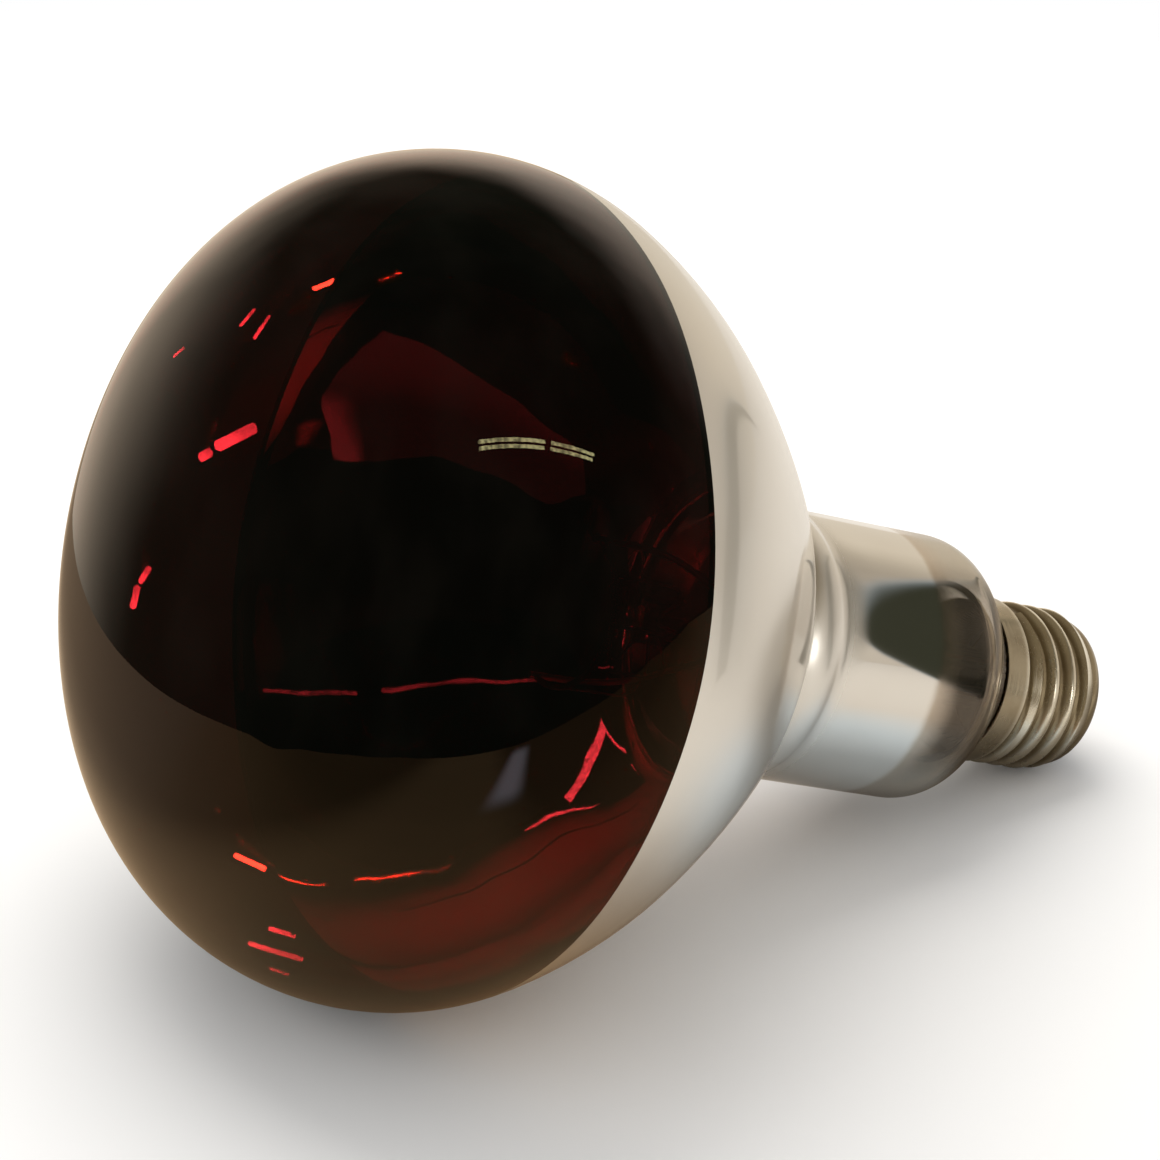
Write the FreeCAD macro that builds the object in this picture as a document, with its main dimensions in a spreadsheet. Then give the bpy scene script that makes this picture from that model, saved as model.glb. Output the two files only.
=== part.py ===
import FreeCAD, Part
import Sketcher
import math
import os

# Infrared heat lamp: a blown hard-glass reflector bulb with a ruby face, closed by a
# stem, and carried by a screw cap. The lamp's axis is Z. The origin is the tip of the
# centre contact; the cap is at the top and the glass face at the bottom, as it hangs
# in use. Radii are measured from the axis and depths downwards from the contact tip.

doc = FreeCAD.newDocument("HeatLamp")
Vec = FreeCAD.Vector

# Every size of the lamp that can be set by itself, in millimetres and degrees
SIZES = [
    # Glass bulb, from the face up to the cap
    ("bulb_diameter", 125, "largest diameter of the bulb"),
    ("dome_height", 41.95, "face apex to the largest diameter"),
    ("dome_radius", 110, "radius of the flat middle of the face"),
    ("funnel_length", 54.35, "largest diameter to the root of the neck"),
    ("upper_fall_share", 0.0688, "share of the funnel's fall in its first stretch"),
    ("upper_run_share", 0.2484, "share of the funnel's length in its first stretch"),
    ("middle_fall_share", 0.3403, "share of the fall to the end of the second stretch"),
    ("middle_run_share", 0.5814, "share of the length to the end of the second stretch"),
    ("foot_fall_share", 0.3169, "share of the fall in the last stretch, down to the neck"),
    ("foot_run_share", 0.1426, "share of the length in the last stretch"),
    ("root_rise", 2.95, "how far the funnel's foot stands out past the plain neck"),
    ("groove_rise", 1.25, "how far the groove's floor stands out past the plain neck"),
    ("groove_drop", 1.9, "funnel foot to the groove's floor"),
    ("bead_length", 2.4, "length of the small ring above the groove"),
    ("bead_foot_rise", 0.85, "how far the small ring's foot stands out past the plain neck"),
    ("bead_round", 1.6, "radius of the small ring's section"),
    ("ring_round", 9, "radius of the long ring's section"),
    ("ring_length", 10.5, "root of the neck to the foot of its flare"),
    ("flare_rise", 0.25, "how far the flare's foot stands out past the plain neck"),
    ("flare_share", 0.145, "share of the neck's length that is flared"),
    ("neck_diameter", 42.1, "diameter of the plain neck"),
    ("neck_length", 29.5, "length of the neck with its flare"),
    ("shoulder_diameter", 29.4, "diameter where the shoulder meets the lip"),
    ("shoulder_height", 7.5, "length of the rounded shoulder"),
    ("lip_length", 4.2, "shoulder to the cap's rim"),
    ("lip_gap", 0.15, "glass lip to the cap's rim, each side"),
    ("glass_wall", 1.0, "thickness of the blown glass"),
    ("seal_depth", 15, "contact tip to the sealed end of the neck"),
    ("seal_gap", 0.5, "sealed neck to the threaded shell, each side"),
    ("taper_gap", 0.25, "step in the cap's sheet to the start of the neck's taper"),
    ("entry_taper", 1.6, "length of the taper inside the collar"),
    # Screw cap
    ("cap_height", 27, "contact tip to the cap's rim"),
    ("thread_diameter", 26.4, "major diameter of the rolled thread"),
    ("thread_depth", 1.1, "depth of the rolled thread"),
    ("thread_pitch", 3.629, "pitch of the rolled thread"),
    ("thread_round", 1.025, "radius of the thread's crests and roots"),
    ("thread_start", 1.3, "foot of the collar's step to the thread's first crest"),
    ("thread_overrun", 0.74, "start of the curl to the thread's last crest"),
    ("thread_runout", 2.4, "length over which the thread fades at each end"),
    ("thread_seat", 0.15, "how far the rolled ridge reaches into the sheet"),
    ("root_land", 0.05, "height of the plain land in the thread's root"),
    ("sheet_wall", 0.3, "thickness of the cap's sheet metal"),
    ("collar_rise", 0.15, "how far the plain collar stands out past the thread's crests"),
    ("collar_length", 4.4, "length of the plain collar"),
    ("collar_step", 0.75, "length of the rounded step below the collar"),
    ("shell_end_depth", 4.9, "contact tip to the curled end of the shell"),
    ("curl_draw", 1.85, "how far the curled end of the shell is turned in"),
    ("curl_length", 2.6, "length of the curled end"),
    ("insulator_face_diameter", 12.4, "small end of the black glass cone"),
    ("insulator_seat", 1.6, "black glass inside the shell above the curl"),
    ("contact_diameter", 9.5, "diameter of the centre contact"),
    ("contact_thickness", 0.55, "thickness of the centre contact"),
    ("contact_round", 0.3, "rounded edge of the centre contact"),
    ("solder_diameter", 5.4, "foot of the solder on the contact"),
    ("solder_flat_diameter", 4.0, "flat top of the solder"),
    ("solder_height", 0.6, "height of the solder"),
    ("solder_round", 1.2, "radius of the solder's flank"),
    ("lead_hole_gap", 0.1, "clearance round the wire in the contact and the black glass"),
    ("cement_top_gap", 2, "end of the sealed neck to the cement"),
    ("cement_rim_gap", 0.5, "cement to the cap's rim"),
    # Stem, leads and filament inside the glass
    ("stem_diameter", 10, "outside diameter of the stem's tube"),
    ("stem_wall", 0.9, "wall of the stem's tube"),
    ("bell_length", 9, "length of the bell at the top of the stem"),
    ("bell_rim", 1.2, "height of the band sealed to the neck"),
    ("bell_rim_wall", 1.1, "thickness of the bell at the seal"),
    ("press_depth", 43, "contact tip to the top of the flat press"),
    ("press_length", 9, "length of the flat press"),
    ("press_thickness", 3.6, "thickness of the flat press"),
    ("press_slope", 3.5, "length over which the round tube is squeezed flat"),
    ("exhaust_diameter", 4.4, "outside diameter of the exhaust tube"),
    ("exhaust_wall", 0.7, "wall of the exhaust tube"),
    ("exhaust_tip_gap", 3, "turn of the centre wire to the sealed end of the exhaust tube"),
    ("rod_diameter", 3, "diameter of the glass rod below the press"),
    ("rod_length", 34, "press to the button"),
    ("button_diameter", 6, "diameter of the glass button"),
    ("button_height", 4, "height of the glass button"),
    ("button_round", 1.6, "radius of the button's shoulders"),
    ("lead_diameter", 1, "diameter of the inner leads"),
    ("lead_spacing", 7, "distance between the leads in the press"),
    ("lead_drop", 10, "straight length of the leads below the press"),
    ("lead_sweep", 36, "length of the leads' double bend"),
    ("lead_end", 6, "double bend to the filament"),
    ("lead_tail", 1, "length of the leads past the filament"),
    ("outer_lead_diameter", 0.6, "diameter of the outer leads"),
    ("contact_lead_gap", 3.4, "black glass to the turn of the wire to the centre contact"),
    ("side_lead_gap", 2.4, "black glass to the wire to the shell"),
    ("side_lead_bend", 3, "radius of the side lead's turn"),
    ("weld_gap", 0.05, "end of the side lead to the shell"),
    ("filament_spread", 24, "diameter of the filament's half ring"),
    ("filament_coil", 1.1, "outside diameter of the filament's coil"),
    ("support_diameter", 0.5, "diameter of the support wires"),
    ("support_bend", 6, "radius of the bend in the support wires"),
    ("support_angle", 36, "angle between the support wires"),
    ("filament_gap_angle", 3, "angle between a lead and the end of the filament"),
    ("shield_drop", 6, "press to the heat shield"),
    ("shield_gap", 1.6, "heat shield to the inside of the neck"),
    ("shield_thickness", 0.5, "thickness of the heat shield"),
    ("shield_lip", 2.2, "height of the heat shield's turned rim"),
    ("shield_hole_gap", 0.3, "clearance round what passes through the heat shield"),
]

sheet = doc.addObject("Spreadsheet::Sheet", "Sizes")
for row, (alias, number, note) in enumerate(SIZES, 1):
    sheet.set("A%d" % row, note)
    sheet.set("B%d" % row, str(number))
    sheet.setAlias("B%d" % row, alias)
doc.recompute()

# Places that follow from the sizes: depths below the contact tip, and radii
places = doc.addObject("Spreadsheet::Sheet", "Places")
place_row = 0


def place(alias, formula):
    global place_row
    place_row += 1
    places.set("A%d" % place_row, alias)
    places.set("B%d" % place_row, "=" + formula)
    places.setAlias("B%d" % place_row, alias)
    doc.recompute()


place("apex", "Sizes.cap_height + Sizes.lip_length + Sizes.shoulder_height + Sizes.neck_length"
      " + Sizes.ring_length + Sizes.funnel_length + Sizes.dome_height")
place("equator", "apex - Sizes.dome_height")
place("root_depth", "equator - Sizes.funnel_length")
place("groove_depth", "root_depth - Sizes.groove_drop")
place("bead_depth", "groove_depth - Sizes.bead_length")
place("neck_foot", "root_depth - Sizes.ring_length")
place("neck_top", "neck_foot - Sizes.neck_length")
place("lip_depth", "neck_top - Sizes.shoulder_height")
place("flare_end", "neck_foot - Sizes.neck_length * Sizes.flare_share")
place("bulb_radius", "Sizes.bulb_diameter / 2")
place("neck_radius", "Sizes.neck_diameter / 2")
place("neck_inside", "neck_radius - Sizes.glass_wall")
place("root_radius", "neck_radius + Sizes.root_rise")
place("groove_radius", "neck_radius + Sizes.groove_rise")
place("bead_foot_radius", "neck_radius + Sizes.bead_foot_rise")
place("flare_foot_radius", "neck_radius + Sizes.flare_rise")
place("flare_curve", "(Sizes.flare_rise ^ 2 + (neck_foot - flare_end) ^ 2) / (2 * Sizes.flare_rise)")

# The face's rounded rim: its arc touches the flat sphere and stands upright at the equator
place("dome_centre", "Sizes.dome_radius - Sizes.dome_height")
place("rim_radius", "(Sizes.dome_radius ^ 2 - bulb_radius ^ 2 - dome_centre ^ 2)"
      " / (2 * (Sizes.dome_radius - bulb_radius))")
place("rim_share", "Sizes.dome_radius / (Sizes.dome_radius - rim_radius)")
place("rim_joint_radius", "(bulb_radius - rim_radius) * rim_share")
place("rim_joint_depth", "apex - Sizes.dome_radius + dome_centre * rim_share")
place("inner_share", "1 - Sizes.glass_wall / Sizes.dome_radius")

# Where the funnel's four arcs meet, and its slope there
place("fall", "bulb_radius - root_radius")
place("upper_radius", "bulb_radius - fall * Sizes.upper_fall_share")
place("middle_radius", "bulb_radius - fall * Sizes.middle_fall_share")
place("lower_radius", "root_radius + fall * Sizes.foot_fall_share")
place("upper_depth", "equator - Sizes.funnel_length * Sizes.upper_run_share")
place("middle_depth", "equator - Sizes.funnel_length * Sizes.middle_run_share")
place("lower_depth", "root_depth + Sizes.funnel_length * Sizes.foot_run_share")
place("slope_one", "2 * atan((bulb_radius - upper_radius) / (equator - upper_depth))")
place("slope_two", "2 * atan((upper_radius - middle_radius) / (upper_depth - middle_depth)) - slope_one")
place("slope_three", "2 * atan((middle_radius - lower_radius) / (middle_depth - lower_depth)) - slope_two")
place("slope_four", "2 * atan((lower_radius - root_radius) / (lower_depth - root_depth)) - slope_three")

# Screw cap
place("thread_radius", "Sizes.thread_diameter / 2")
place("thread_root", "thread_radius - Sizes.thread_depth")
place("core_radius", "thread_root + Sizes.root_land")
place("core_inside", "core_radius - Sizes.sheet_wall")
place("collar_radius", "thread_radius + Sizes.collar_rise")
place("collar_inside", "collar_radius - Sizes.sheet_wall")
place("collar_foot", "Sizes.cap_height - Sizes.collar_length")
place("core_top", "collar_foot - Sizes.collar_step")
place("first_crest", "core_top - Sizes.thread_start")
place("crest_centre", "thread_radius - Sizes.thread_round")
place("root_centre", "thread_root + Sizes.thread_round")
place("flank_radius", "(crest_centre + root_centre) / 2")
place("thread_reach", "sqrt(Sizes.thread_round ^ 2 - (root_centre - core_radius) ^ 2)")
place("thread_half_width", "Sizes.thread_pitch / 2 - thread_reach")
place("shell_end_radius", "core_radius - Sizes.curl_draw")
place("curl_start", "Sizes.shell_end_depth + Sizes.curl_length")
place("thread_turns", "(first_crest - curl_start + Sizes.thread_overrun) / Sizes.thread_pitch")
place("curl_outside", "(Sizes.curl_draw ^ 2 + Sizes.curl_length ^ 2) / (2 * Sizes.curl_draw)")
place("curl_inside", "((core_inside - shell_end_radius) ^ 2 + (Sizes.curl_length - Sizes.sheet_wall) ^ 2)"
      " / (2 * (core_inside - shell_end_radius))")
place("insulator_face", "Sizes.solder_height + Sizes.contact_thickness")
place("insulator_top", "curl_start + Sizes.insulator_seat")
place("lead_hole", "Sizes.outer_lead_diameter / 2 + Sizes.lead_hole_gap")

# The neck inside the cap
place("sealed_radius", "core_inside - Sizes.seal_gap")
place("sealed_inside", "sealed_radius - Sizes.glass_wall")
place("taper_end", "core_top + Sizes.sheet_wall + Sizes.taper_gap")
place("entry_end", "taper_end + Sizes.entry_taper")
place("entry_radius", "collar_inside - Sizes.lip_gap")

# Stem, leads and filament
place("stem_radius", "Sizes.stem_diameter / 2")
place("stem_bore", "stem_radius - Sizes.stem_wall")
place("bell_foot", "Sizes.seal_depth + Sizes.bell_length")
place("bell_inner_rim", "sealed_inside - Sizes.bell_rim_wall")
place("bell_inside", "((bell_inner_rim - stem_bore) ^ 2 + Sizes.bell_length ^ 2)"
      " / (2 * (bell_inner_rim - stem_bore))")
place("press_foot", "Sizes.press_depth + Sizes.press_length")
place("exhaust_radius", "Sizes.exhaust_diameter / 2")
place("exhaust_bore", "exhaust_radius - Sizes.exhaust_wall")
place("outer_lead_place", "(exhaust_radius + stem_bore) / 2")
place("contact_lead_turn", "insulator_top + Sizes.contact_lead_gap")
place("side_lead_depth", "insulator_top + Sizes.side_lead_gap")
place("exhaust_tip", "contact_lead_turn + Sizes.exhaust_tip_gap")
place("button_top", "press_foot + Sizes.rod_length")
place("button_middle", "button_top + Sizes.button_height / 2")
place("button_foot", "button_top + Sizes.button_height")
place("button_radius", "Sizes.button_diameter / 2")
place("filament_radius", "Sizes.filament_spread / 2")
place("lead_bent", "press_foot + Sizes.lead_drop + Sizes.lead_sweep")
place("filament_depth", "lead_bent + Sizes.lead_end")
place("coil_top", "filament_depth - Sizes.filament_coil / 2")
place("shield_top", "press_foot + Sizes.shield_drop")
place("shield_foot", "shield_top + Sizes.shield_thickness")
place("shield_radius", "neck_inside - Sizes.shield_gap")


def value(expression):
    found = places.evalExpression(expression)
    return float(getattr(found, "Value", found))


def plane_of(body, role):
    for feature in body.Origin.OriginFeatures:
        if feature.Role == role:
            return feature
    raise RuntimeError("no plane " + role)


def sketch_on(body, name, role="XZ_Plane", offset=None):
    sketch = body.newObject("Sketcher::SketchObject", name)
    sketch.AttachmentSupport = [(plane_of(body, role), "")]
    sketch.MapMode = "FlatFace"
    if offset:
        sketch.setExpression("AttachmentOffset.Base.z", offset)
    return sketch


def fix_point(sketch, geometry, end, across, up):
    if across == "0":
        sketch.addConstraint(Sketcher.Constraint("PointOnObject", geometry, end, -2))
    else:
        index = sketch.addConstraint(
            Sketcher.Constraint("DistanceX", -1, 1, geometry, end, value(across)))
        sketch.setExpression("Constraints[%d]" % index, across)
    if up == "0":
        sketch.addConstraint(Sketcher.Constraint("PointOnObject", geometry, end, -1))
    else:
        index = sketch.addConstraint(
            Sketcher.Constraint("DistanceY", -1, 1, geometry, end, value(up)))
        sketch.setExpression("Constraints[%d]" % index, up)


def draw(sketch, start, steps, closed=True):
    """Draw a chain of lines and arcs. Each step is (kind, across, up) with the point
    it ends at: "line", "smooth" for an arc that leaves along the step before it, or
    ("arc", radius) for an arc of that radius that turns left, or right when the
    radius's text starts with a minus sign."""
    here = Vec(value(start[0]), value(start[1]), 0)
    heading = None
    chain = []
    for kind, across, up in steps:
        there = Vec(value(across), value(up), 0)
        if kind == "line":
            geometry = sketch.addGeometry(Part.LineSegment(here, there), False)
            heading = (there - here).normalize()
            chain.append((geometry, 1, 2, across, up, kind))
        else:
            if kind == "smooth":
                normal = Vec(-heading.y, heading.x, 0)
                chord = there - here
                reach = chord.dot(chord) / (2 * normal.dot(chord))
            else:
                radius = value(kind[1].lstrip("-"))
                left = not kind[1].startswith("-")
                chord = there - here
                half = chord.Length / 2
                rise = math.sqrt(max(radius * radius - half * half, 0))
                side = Vec(-chord.y, chord.x, 0).normalize()
                middle = here + chord * 0.5
                centre = middle + side * (rise if left else -rise)
                reach = radius if left else -radius
                normal = (centre - here).normalize() * (1 if left else -1)
            centre = here + normal * reach
            first = math.atan2(here.y - centre.y, here.x - centre.x)
            last = math.atan2(there.y - centre.y, there.x - centre.x)
            circle = Part.Circle(centre, Vec(0, 0, 1), abs(reach))
            if reach > 0:
                geometry = sketch.addGeometry(Part.ArcOfCircle(circle, first, last), False)
                ends = (1, 2)
                heading = Vec(-math.sin(last), math.cos(last), 0)
            else:
                geometry = sketch.addGeometry(Part.ArcOfCircle(circle, last, first), False)
                ends = (2, 1)
                heading = Vec(math.sin(last), -math.cos(last), 0)
            if kind != "smooth":
                index = sketch.addConstraint(
                    Sketcher.Constraint("Radius", geometry, abs(reach)))
                sketch.setExpression("Constraints[%d]" % index, kind[1].lstrip("-"))
            chain.append((geometry, ends[0], ends[1], across, up, kind))
        here = there
    for before, after in zip(chain, chain[1:]):
        style = "Tangent" if after[5] == "smooth" else "Coincident"
        sketch.addConstraint(
            Sketcher.Constraint(style, before[0], before[2], after[0], after[1]))
    if closed:
        sketch.addConstraint(Sketcher.Constraint(
            "Coincident", chain[-1][0], chain[-1][2], chain[0][0], chain[0][1]))
    else:
        fix_point(sketch, chain[0][0], chain[0][1], start[0], start[1])
    for geometry, begin, end, across, up, kind in chain:
        fix_point(sketch, geometry, end, across, up)


def body_named(name):
    body = doc.addObject("PartDesign::Body", name)
    body.Label = name
    return body


def turned(body, start, steps, name="outline"):
    """Turn a closed outline of (radius, height) points about the lamp's axis."""
    sketch = sketch_on(body, body.Name + "_" + name)
    draw(sketch, start, steps)
    turn = body.newObject("PartDesign::Revolution", body.Name + "_turned")
    turn.Profile = sketch
    turn.ReferenceAxis = (sketch, ["V_Axis"])
    turn.Angle = 360
    doc.recompute()
    return turn


def bored(body, start, steps, name="bore"):
    """Turn away a closed outline about the lamp's axis."""
    sketch = sketch_on(body, body.Name + "_" + name)
    draw(sketch, start, steps)
    groove = body.newObject("PartDesign::Groove", body.Name + "_" + name + "_cut")
    groove.Profile = sketch
    groove.ReferenceAxis = (sketch, ["V_Axis"])
    groove.Angle = 360
    doc.recompute()
    return groove


# Glass envelope: one blown piece. The face is a flat sphere rounded into the bulb's
# rim, the funnel falls to a pressed ring at the root of the neck, and the neck is
# drawn in at the shoulder to pass into the cap, where it is open to take the stem.
envelope = body_named("glass_envelope")
turned(envelope, ("0", "-Places.apex"), [
    (("arc", "Sizes.dome_radius"), "Places.rim_joint_radius", "-Places.rim_joint_depth"),
    ("smooth", "Places.bulb_radius", "-Places.equator"),
    ("smooth", "Places.upper_radius", "-Places.upper_depth"),
    ("smooth", "Places.middle_radius", "-Places.middle_depth"),
    ("smooth", "Places.lower_radius", "-Places.lower_depth"),
    ("smooth", "Places.root_radius", "-Places.root_depth"),
    ("smooth", "Places.groove_radius", "-Places.groove_depth"),
    (("arc", "Sizes.bead_round"), "Places.bead_foot_radius", "-Places.bead_depth"),
    (("arc", "Sizes.ring_round"), "Places.flare_foot_radius", "-Places.neck_foot"),
    (("arc", "-Places.flare_curve"), "Places.neck_radius", "-Places.flare_end"),
    ("line", "Places.neck_radius", "-Places.neck_top"),
    ("smooth", "Sizes.shoulder_diameter / 2", "-Places.lip_depth"),
    ("line", "Places.entry_radius", "-Sizes.cap_height"),
    ("line", "Places.entry_radius", "-Places.entry_end"),
    ("line", "Places.sealed_radius", "-Places.taper_end"),
    ("line", "Places.sealed_radius", "-Sizes.seal_depth"),
    ("line", "0", "-Sizes.seal_depth"),
    ("line", "0", "-Places.apex"),
])
bored(envelope, ("0", "-(Places.apex - Sizes.glass_wall)"), [
    (("arc", "(Sizes.dome_radius - Sizes.glass_wall)"),
     "Places.rim_joint_radius * Places.inner_share",
     "-(Places.apex - Sizes.dome_radius + (Places.rim_joint_depth - Places.apex"
     " + Sizes.dome_radius) * Places.inner_share)"),
    ("smooth", "Places.bulb_radius - Sizes.glass_wall", "-Places.equator"),
    ("smooth", "Places.upper_radius - Sizes.glass_wall * cos(Places.slope_one)",
     "-(Places.upper_depth + Sizes.glass_wall * sin(Places.slope_one))"),
    ("smooth", "Places.middle_radius - Sizes.glass_wall * cos(Places.slope_two)",
     "-(Places.middle_depth + Sizes.glass_wall * sin(Places.slope_two))"),
    ("smooth", "Places.lower_radius - Sizes.glass_wall * cos(Places.slope_three)",
     "-(Places.lower_depth + Sizes.glass_wall * sin(Places.slope_three))"),
    ("smooth", "Places.root_radius - Sizes.glass_wall * cos(Places.slope_four)",
     "-(Places.root_depth + Sizes.glass_wall * sin(Places.slope_four))"),
    ("line", "Places.groove_radius - Sizes.glass_wall", "-Places.groove_depth"),
    ("line", "Places.bead_foot_radius - Sizes.glass_wall", "-Places.bead_depth"),
    ("line", "Places.flare_foot_radius - Sizes.glass_wall", "-Places.neck_foot"),
    ("line", "Places.neck_inside", "-Places.flare_end"),
    ("line", "Places.neck_inside", "-Places.neck_top"),
    ("smooth", "Sizes.shoulder_diameter / 2 - Sizes.glass_wall",
     "-(Places.lip_depth + Sizes.glass_wall)"),
    ("line", "Places.entry_radius - Sizes.glass_wall", "-Sizes.cap_height"),
    ("line", "Places.entry_radius - Sizes.glass_wall", "-Places.entry_end"),
    ("line", "Places.sealed_inside", "-Places.taper_end"),
    ("line", "Places.sealed_inside", "-Sizes.seal_depth"),
    ("line", "0", "-Sizes.seal_depth"),
    ("line", "0", "-(Places.apex - Sizes.glass_wall)"),
])


# Cap shell: thin sheet rolled with a knuckle thread, a plain collar at the rim and an
# end curled in over the black glass. The thread fades out at both ends.
shell = body_named("cap_shell")
turned(shell, ("Places.collar_radius", "-Sizes.cap_height"), [
    ("line", "Places.collar_radius", "-Places.collar_foot"),
    ("line", "Places.core_radius", "-Places.core_top"),
    ("line", "Places.core_radius", "-Places.curl_start"),
    ("smooth", "Places.shell_end_radius", "-Sizes.shell_end_depth"),
    ("line", "Places.shell_end_radius", "-(Sizes.shell_end_depth + Sizes.sheet_wall)"),
    (("arc", "-Places.curl_inside"), "Places.core_inside", "-Places.curl_start"),
    ("line", "Places.core_inside", "-(Places.core_top + Sizes.sheet_wall)"),
    ("line", "Places.collar_inside", "-(Places.collar_foot + Sizes.sheet_wall)"),
    ("line", "Places.collar_inside", "-Sizes.cap_height"),
    ("line", "Places.collar_radius", "-Sizes.cap_height"),
])
ridge = sketch_on(shell, "thread_profile")
draw(ridge, ("Places.core_radius", "-(Places.first_crest + Places.thread_half_width)"), [
    (("arc", "-Sizes.thread_round"), "Places.flank_radius", "-(Places.first_crest + Sizes.thread_pitch / 4)"),
    ("smooth", "Places.flank_radius", "-(Places.first_crest - Sizes.thread_pitch / 4)"),
    ("smooth", "Places.core_radius", "-(Places.first_crest - Places.thread_half_width)"),
    ("line", "Places.core_radius - Sizes.thread_seat", "-(Places.first_crest - Places.thread_half_width)"),
    ("line", "Places.core_radius - Sizes.thread_seat", "-(Places.first_crest + Places.thread_half_width)"),
    ("line", "Places.core_radius", "-(Places.first_crest + Places.thread_half_width)"),
])
doc.recompute()
thread = shell.newObject("PartDesign::AdditiveHelix", "rolled_thread")
thread.Profile = ridge
thread.ReferenceAxis = (ridge, ["V_Axis"])
thread.Mode = "pitch-turns-angle"
thread.setExpression("Pitch", "Sizes.thread_pitch")
thread.setExpression("Turns", "Places.thread_turns")
thread.Angle = 0
doc.recompute()

# The ridge is turned away beyond a cone at each end, down to the sheet beneath it
bored(shell, ("Places.core_radius", "-Places.curl_start"), [
    ("line", "Places.thread_radius", "-(Places.curl_start + Sizes.thread_runout)"),
    ("line", "Places.thread_radius + Sizes.thread_depth",
     "-(Places.curl_start + Sizes.thread_runout)"),
    ("line", "Places.thread_radius + Sizes.thread_depth", "-Sizes.solder_height"),
    ("line", "Places.shell_end_radius", "-Sizes.solder_height"),
    ("line", "Places.shell_end_radius", "-Sizes.shell_end_depth"),
    (("arc", "-Places.curl_outside"), "Places.core_radius", "-Places.curl_start"),
], "thread_end")
bored(shell, ("Places.core_radius", "-Places.core_top"), [
    ("line", "Places.collar_radius", "-Places.collar_foot"),
    ("line", "Places.collar_radius + Sizes.thread_depth", "-Places.collar_foot"),
    ("line", "Places.collar_radius + Sizes.thread_depth",
     "-(Places.core_top - Sizes.thread_runout)"),
    ("line", "Places.thread_radius", "-(Places.core_top - Sizes.thread_runout)"),
    ("line", "Places.core_radius", "-Places.core_top"),
], "thread_start")


# Black glass insulator: it fills the curled end of the shell, stands out of it as a
# blunt cone, and has a hole for the wire to the centre contact.
insulator = body_named("cap_insulator")
turned(insulator, ("Places.lead_hole", "-Places.insulator_face"), [
    ("line", "Places.lead_hole", "-Places.insulator_top"),
    ("line", "Places.core_inside", "-Places.insulator_top"),
    ("line", "Places.core_inside", "-Places.curl_start"),
    (("arc", "Places.curl_inside"), "Places.shell_end_radius",
     "-(Sizes.shell_end_depth + Sizes.sheet_wall)"),
    ("line", "Places.shell_end_radius", "-Sizes.shell_end_depth"),
    ("line", "Sizes.insulator_face_diameter / 2", "-Places.insulator_face"),
    ("line", "Places.lead_hole", "-Places.insulator_face"),
])

# Centre contact: a flat brass button with a rounded edge and a hole for the wire
contact = body_named("centre_contact")
turned(contact, ("Places.lead_hole", "-Places.insulator_face"), [
    ("line", "Sizes.contact_diameter / 2", "-Places.insulator_face"),
    ("line", "Sizes.contact_diameter / 2", "-(Sizes.solder_height + Sizes.contact_round)"),
    (("arc", "Sizes.contact_round"), "Sizes.contact_diameter / 2 - Sizes.contact_round",
     "-Sizes.solder_height"),
    ("line", "Places.lead_hole", "-Sizes.solder_height"),
    ("line", "Places.lead_hole", "-Places.insulator_face"),
])

# Solder on the contact: a low drop, pressed flat at the tip where the holder's spring bears
solder = body_named("centre_solder")
turned(solder, ("0", "-Sizes.solder_height"), [
    ("line", "Sizes.solder_diameter / 2", "-Sizes.solder_height"),
    (("arc", "Sizes.solder_round"), "Sizes.solder_flat_diameter / 2", "0"),
    ("line", "0", "0"),
    ("line", "0", "-Sizes.solder_height"),
])

# Cement: a baked ring that fills the gap between the neck and the cap
cement = body_named("cap_cement")
turned(cement, ("Places.sealed_radius", "-(Sizes.seal_depth + Sizes.cement_top_gap)"), [
    ("line", "Places.sealed_radius", "-Places.taper_end"),
    ("line", "Places.entry_radius", "-Places.entry_end"),
    ("line", "Places.entry_radius", "-(Sizes.cap_height - Sizes.cement_rim_gap)"),
    ("line", "Places.collar_inside", "-(Sizes.cap_height - Sizes.cement_rim_gap)"),
    ("line", "Places.collar_inside", "-(Places.collar_foot + Sizes.sheet_wall)"),
    ("line", "Places.core_inside", "-(Places.core_top + Sizes.sheet_wall)"),
    ("line", "Places.core_inside", "-(Sizes.seal_depth + Sizes.cement_top_gap)"),
    ("line", "Places.sealed_radius", "-(Sizes.seal_depth + Sizes.cement_top_gap)"),
])

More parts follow.
